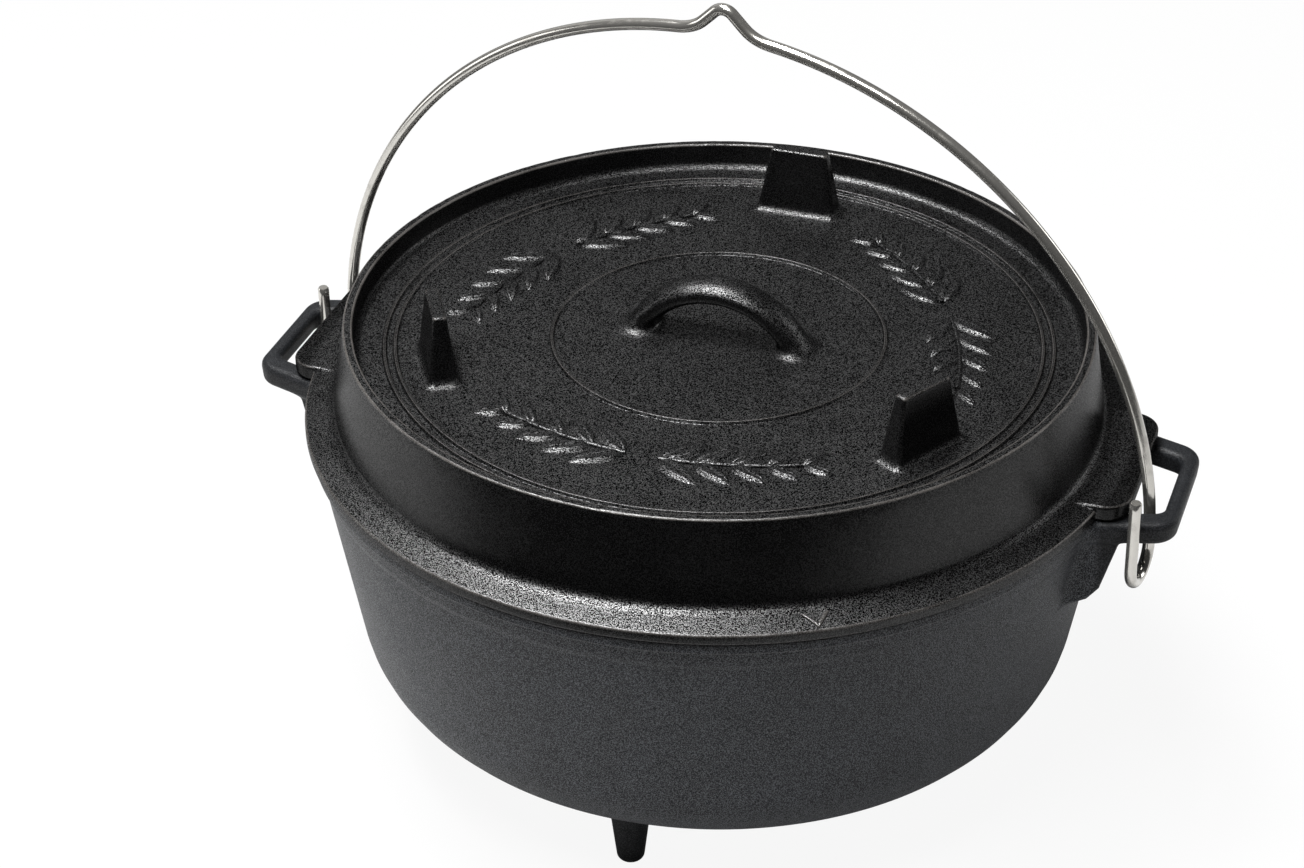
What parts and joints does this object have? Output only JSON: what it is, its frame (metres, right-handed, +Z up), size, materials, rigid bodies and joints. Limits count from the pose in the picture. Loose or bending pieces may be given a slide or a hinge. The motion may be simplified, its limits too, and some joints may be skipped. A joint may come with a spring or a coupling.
{
  "type": "camp dutch oven",
  "caption": "Cast-iron camp dutch oven: flared pot on peg feet with side loops, a brimmed tray lid with legs and an arched handle, and a swinging wire bail.",
  "frame": {"origin": "centre of the object's box at the level of the foot tips, on the pot's own axis", "axes": "+Z up along the pot's axis, +X towards the right loop handle, -Y towards the front foot"},
  "size_m": [0.358, 0.31, 0.3011],
  "materials": {
    "pot_iron": "seasoned cast iron, fine sand-cast grain, satin",
    "lid_iron": "seasoned cast iron, fine sand-cast grain, satin, worn bright along the crest",
    "bail_steel": "drawn steel wire, satin"
  },
  "bodies": {
    "pot": {"pot_bowl": "pot_iron", "pot_foot_front": "pot_iron", "pot_foot_right": "pot_iron", "pot_foot_left": "pot_iron", "loop_right": "pot_iron", "loop_left": "pot_iron"},
    "lid": {"lid_plate": "lid_iron", "lid_skirt": "lid_iron", "lid_brim": "lid_iron", "lid_ear_right": "lid_iron", "lid_ear_left": "lid_iron", "lid_leg_back": "lid_iron", "lid_leg_right": "lid_iron", "lid_leg_left": "lid_iron", "lid_handle": "lid_iron"},
    "bail": {"bail_arch": "bail_steel", "bail_hook_right": "bail_steel", "bail_hook_left": "bail_steel"}
  },
  "joints": [
    {"name": "lid_lift", "type": "slide", "parent": "pot", "child": "lid", "axis": [0, 0, 1], "range_m": [0, 0.0045]},
    {"name": "bail_swing", "type": "hinge", "parent": "pot", "child": "bail", "pos_m": [0, 0, 0.133], "axis": [0.9886, -0.1507, 0], "range_deg": [-50, 72]}
  ]
}
